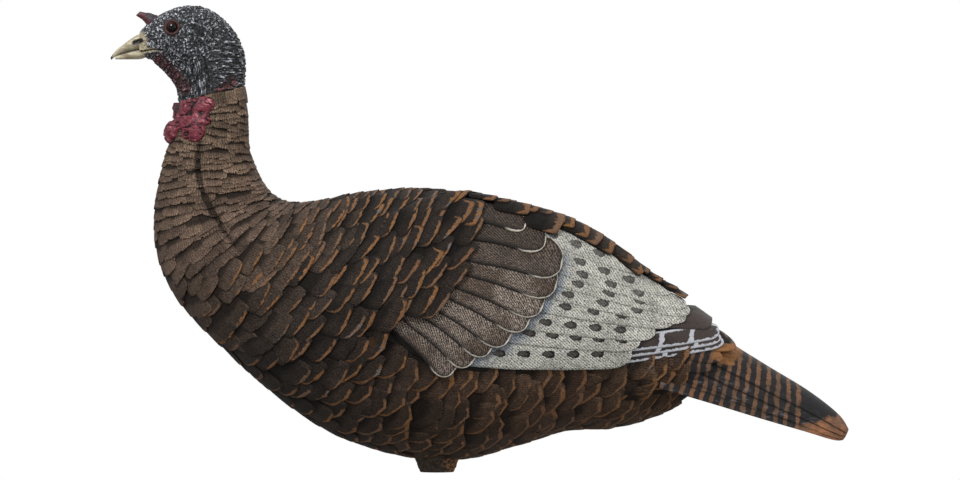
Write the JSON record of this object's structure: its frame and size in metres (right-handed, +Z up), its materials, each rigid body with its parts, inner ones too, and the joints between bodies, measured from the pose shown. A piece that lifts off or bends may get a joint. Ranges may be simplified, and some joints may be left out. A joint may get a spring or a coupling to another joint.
{
  "type": "turkey decoy",
  "caption": "Hollow hen turkey decoy with folded wings and tail, a turning pull-off head, and a blind socket below that swivels on a ground stake.",
  "frame": {"origin": "centre of the stake socket's mouth, at the bottom of the block under the belly", "axes": "+Z up along the socket's axis, -X towards the head, +X towards the tail, -Y the bird's left side"},
  "size_m": [0.7875, 0.2232, 0.4972],
  "materials": {
    "painted_shell": "flat paint in browns over moulded feathers",
    "painted_wing": "flat paint, brown coverts and pale grey flight feathers",
    "painted_tail": "flat paint, dark brown bars",
    "red_skin": "flat dull red paint",
    "blue_skin": "flat blue-grey paint",
    "horn": "satin horn colour",
    "eye_gloss": "glossy",
    "inner_plastic": "plain black moulding",
    "bearing_plastic": "plain natural acetal",
    "steel": "zinc plated",
    "brass": "plain",
    "black_rubber": "plain"
  },
  "bodies": {
    "stake_swivel": {"swivel_sleeve": "bearing_plastic", "swivel_clip": "steel"},
    "decoy_body": {"body_shell_left": "painted_shell", "body_shell_right": "painted_shell", "wing_left": "painted_wing", "wing_right": "painted_wing", "wing_push_nuts": "steel", "tail_fan": "painted_tail", "tail_keel": "inner_plastic", "tail_bracket": "inner_plastic", "tail_bolts": "steel", "tail_nuts": "steel", "stake_boss": "painted_shell", "stake_tube": "inner_plastic", "lower_bush": "bearing_plastic", "thrust_washer": "brass", "top_cup": "bearing_plastic", "neck_collar": "inner_plastic", "neck_caruncles": "red_skin"},
    "head_plug": {"head_spigot": "inner_plastic", "spigot_o_ring": "black_rubber", "head_washer": "steel", "head_screw": "steel"},
    "head": {"head_skin": "blue_skin", "head_hub": "inner_plastic", "beak_upper": "horn", "beak_lower": "horn", "eye_left": "eye_gloss", "eye_right": "eye_gloss", "snood": "red_skin"}
  },
  "joints": [
    {"name": "body_swivel", "type": "hinge", "parent": "stake_swivel", "child": "decoy_body", "pos_m": [0, 0, 0], "axis": [0, 0, 1], "continuous": true},
    {"name": "head_release", "type": "slide", "parent": "decoy_body", "child": "head_plug", "axis": [-0.2419, 0, 0.9703], "range_m": [0, 0.06]},
    {"name": "head_turn", "type": "hinge", "parent": "head_plug", "child": "head", "pos_m": [-0.24, 0, 0.4025], "axis": [-0.2419, 0, 0.9703], "range_deg": [-35, 35]}
  ]
}
